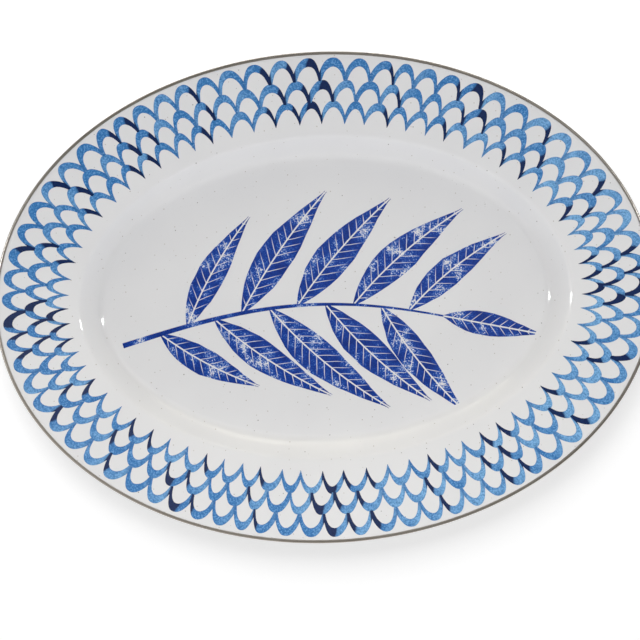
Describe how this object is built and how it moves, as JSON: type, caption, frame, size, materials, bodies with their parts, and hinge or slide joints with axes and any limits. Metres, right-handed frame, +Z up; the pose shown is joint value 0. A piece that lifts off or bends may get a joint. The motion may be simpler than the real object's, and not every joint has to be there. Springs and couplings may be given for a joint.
{
  "type": "oval serving platter",
  "caption": "Oval serving platter in enamelled pressed steel: a wide rising rim, a shallow flat-floored well and a stainless band rolled over the edge.",
  "frame": {"origin": "middle of the flat underside, on the table", "axes": "+Z up out of the well, +X along the platter's length, +Y across its width"},
  "size_m": [0.406, 0.302, 0.0247],
  "materials": {
    "steel": "bare pressed sheet steel, sealed between the coats",
    "face_enamel": "glossy white fired enamel with printed blue decoration",
    "back_enamel": "glossy white fired enamel, plain",
    "stainless": "polished stainless strip"
  },
  "bodies": {
    "root": {"steel_body": "steel", "face_enamel": "face_enamel", "back_enamel": "back_enamel", "rim_band": "stainless"}
  },
  "joints": []
}
